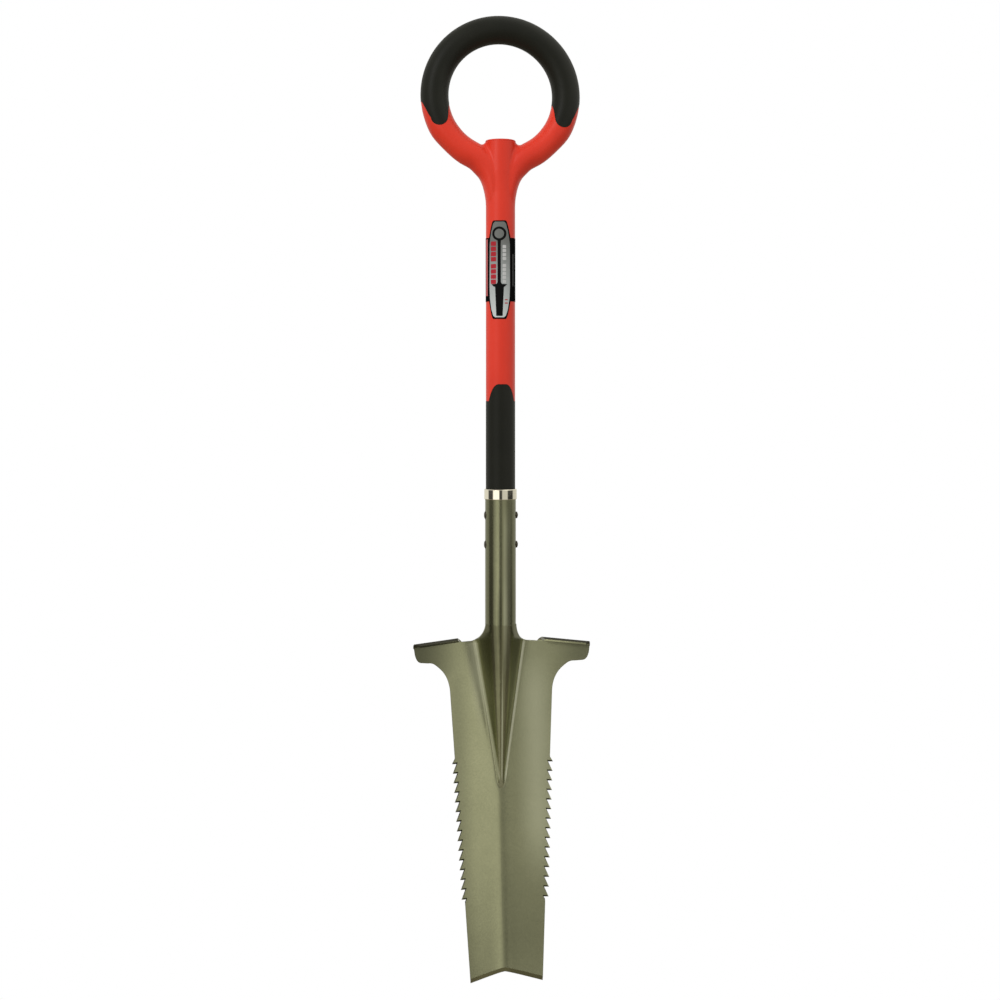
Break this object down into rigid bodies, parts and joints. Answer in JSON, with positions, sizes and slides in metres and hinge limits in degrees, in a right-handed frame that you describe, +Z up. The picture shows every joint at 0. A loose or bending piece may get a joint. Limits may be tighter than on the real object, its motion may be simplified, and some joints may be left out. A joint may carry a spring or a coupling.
{
  "type": "drain spade",
  "caption": "Long narrow hand-digging spade with a ring handle, soft grips, a bolted steel socket and a folded blade with treads, saw-toothed edges and an inverted-V tip.",
  "frame": {"origin": "middle of the bounding box's bottom; the shaft axis stands about 21 mm behind it, level with the blade's lowest corners", "axes": "+Z up the shaft to the ring, -Y the digging face that the blade leans towards, +X to the right when looking at that face"},
  "size_m": [0.2208, 0.0829, 1.1844],
  "materials": {
    "coated_steel": "satin bronze-green powder coat",
    "bright_steel": "polished",
    "fastener_steel": "satin",
    "red_resin": "semi-gloss moulded",
    "soft_black": "matt soft-touch",
    "label_film": "satin printed film, no words",
    "plain_steel": "mill finish",
    "nylon": "natural"
  },
  "bodies": {
    "root": {"blade": "coated_steel", "socket_tube": "coated_steel", "socket_welds": "coated_steel", "collar": "bright_steel", "upper_bolt": "fastener_steel", "lower_bolt": "fastener_steel", "upper_nut": "fastener_steel", "lower_nut": "fastener_steel", "handle_frame": "red_resin", "top_cap": "red_resin", "ring_grip": "soft_black", "lower_grip": "soft_black", "label": "label_film", "core_tube": "plain_steel", "ring_hoop": "plain_steel", "shaft_plug": "nylon"}
  },
  "joints": []
}
